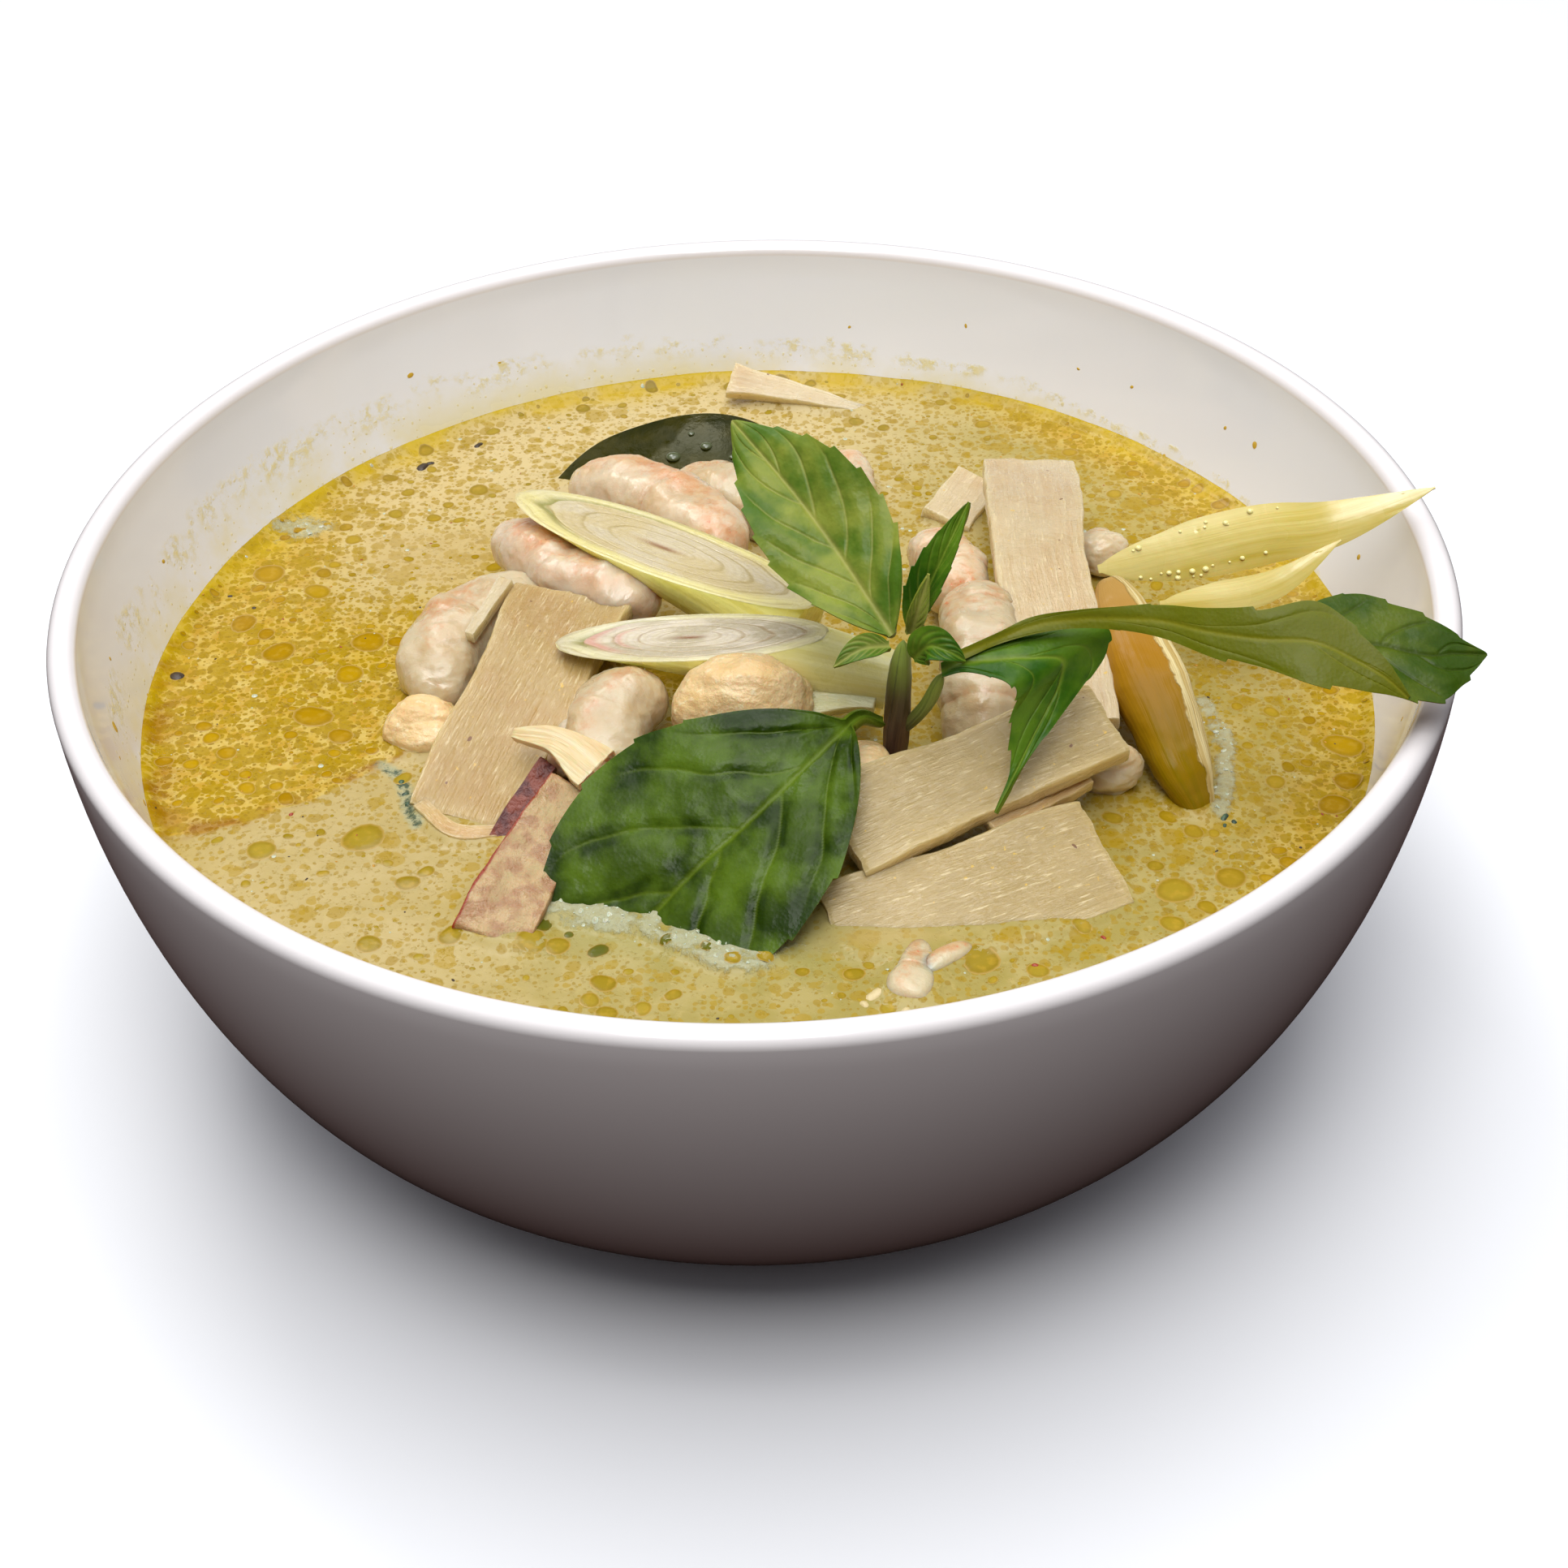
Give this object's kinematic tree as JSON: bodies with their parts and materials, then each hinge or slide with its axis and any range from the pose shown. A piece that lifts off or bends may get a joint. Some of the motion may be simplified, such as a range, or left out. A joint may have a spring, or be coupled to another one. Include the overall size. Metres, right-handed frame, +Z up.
{
  "type": "bowl of green curry",
  "caption": "Round white bowl of pale green curry with prawns, chicken, bamboo shoot, lemongrass, a lime leaf and a sprig of basil that reaches over the rim.",
  "frame": {"origin": "middle of the foot ring, on the surface that the bowl stands on", "axes": "+Z up out of the bowl; +X towards the side where the long basil leaf reaches over the rim; -Y towards the side with the large wet basil leaf"},
  "size_m": [0.17, 0.17, 0.0868],
  "materials": {
    "porcelain": "gloss white glaze",
    "curry": "wet, pale yellow-green with amber oil drops",
    "bamboo": "wet, cream, with fine fibres",
    "prawn": "wet, pinkish white with orange bands",
    "chicken": "moist, pale yellow",
    "lemongrass": "wet, cream to pale green",
    "basil": "waxy green",
    "lime_leaf": "glossy dark green"
  },
  "bodies": {
    "root": {"bowl": "porcelain", "curry": "curry", "basil_stem": "basil", "basil_leaf_front": "basil", "basil_leaf_droop": "basil", "basil_leaf_right": "basil", "basil_leaf_up": "basil", "basil_leaf_folded": "basil", "basil_leaf_small": "basil", "basil_leaf_tiny": "basil", "basil_bud": "basil", "lemongrass_lower": "lemongrass", "lemongrass_upper": "lemongrass", "lemongrass_end": "lemongrass", "lemongrass_sheath": "lemongrass", "lemongrass_stalk": "lemongrass", "bamboo_front_upper": "bamboo", "bamboo_front_middle": "bamboo", "bamboo_front_lower": "bamboo", "bamboo_back": "bamboo", "bamboo_back_low": "bamboo", "bamboo_far_edge": "bamboo", "bamboo_left": "bamboo", "bamboo_left_strip": "bamboo", "bamboo_curl": "bamboo", "onion_shred": "bamboo", "prawn_pink": "prawn", "prawn_left": "prawn", "prawn_top": "prawn", "prawn_pale": "prawn", "prawn_centre": "prawn", "prawn_tail": "prawn", "prawn_right": "prawn", "prawn_back_right": "prawn", "prawn_back": "prawn", "prawn_beside_bamboo": "prawn", "prawn_under_bamboo": "prawn", "prawn_floating": "prawn", "chicken_centre": "chicken", "chicken_left": "chicken", "chicken_small": "chicken", "fish_piece": "chicken", "fish_skin": "chicken", "lime_leaf": "lime_leaf"}
  },
  "joints": []
}
